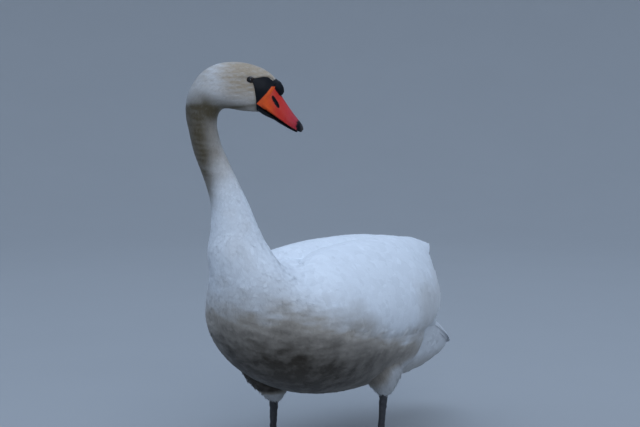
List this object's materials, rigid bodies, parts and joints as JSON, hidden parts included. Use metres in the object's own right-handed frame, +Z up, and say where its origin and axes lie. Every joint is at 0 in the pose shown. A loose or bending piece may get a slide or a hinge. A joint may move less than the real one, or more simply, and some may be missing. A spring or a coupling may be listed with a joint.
{
  "type": "mute swan",
  "caption": "Standing mute swan, life size: long neck held up, head turned back over its left side, wings folded, one foot ahead of the other.",
  "frame": {"origin": "on the floor, under the middle of the model's box", "axes": "the bird's body faces -Y, its left side is +X, +Z is up; +X is its shortest extent"},
  "size_m": [0.3256, 0.7866, 0.777],
  "materials": {
    "feathers": "soft white plumage, buff on the crown and cheeks",
    "bill": "smooth satin horn, orange at the base to coral red at the tip",
    "bare_skin": "black, finely grained, satin",
    "eye": "very dark brown, wet gloss",
    "leg_skin": "blackish grey scaled skin, matt",
    "claw": "black horn, satin"
  },
  "bodies": {
    "root": {"trunk": "feathers", "neck_lower": "feathers", "neck_middle": "feathers", "neck_upper": "feathers", "head": "feathers", "wing_left": "feathers", "wing_right": "feathers", "primaries_left": "feathers", "primaries_right": "feathers", "tail": "feathers", "thigh_left": "feathers", "thigh_right": "feathers", "bill_upper": "bill", "bill_lower": "bare_skin", "bill_knob": "bare_skin", "eye_left": "eye", "eye_right": "eye", "leg_left": "leg_skin", "leg_right": "leg_skin", "foot_left": "leg_skin", "foot_right": "leg_skin", "hind_toe_left": "leg_skin", "hind_toe_right": "leg_skin", "claw_inner_left": "claw", "claw_inner_right": "claw", "claw_middle_left": "claw", "claw_middle_right": "claw", "claw_outer_left": "claw", "claw_outer_right": "claw", "claw_hind_left": "claw", "claw_hind_right": "claw"}
  },
  "joints": []
}
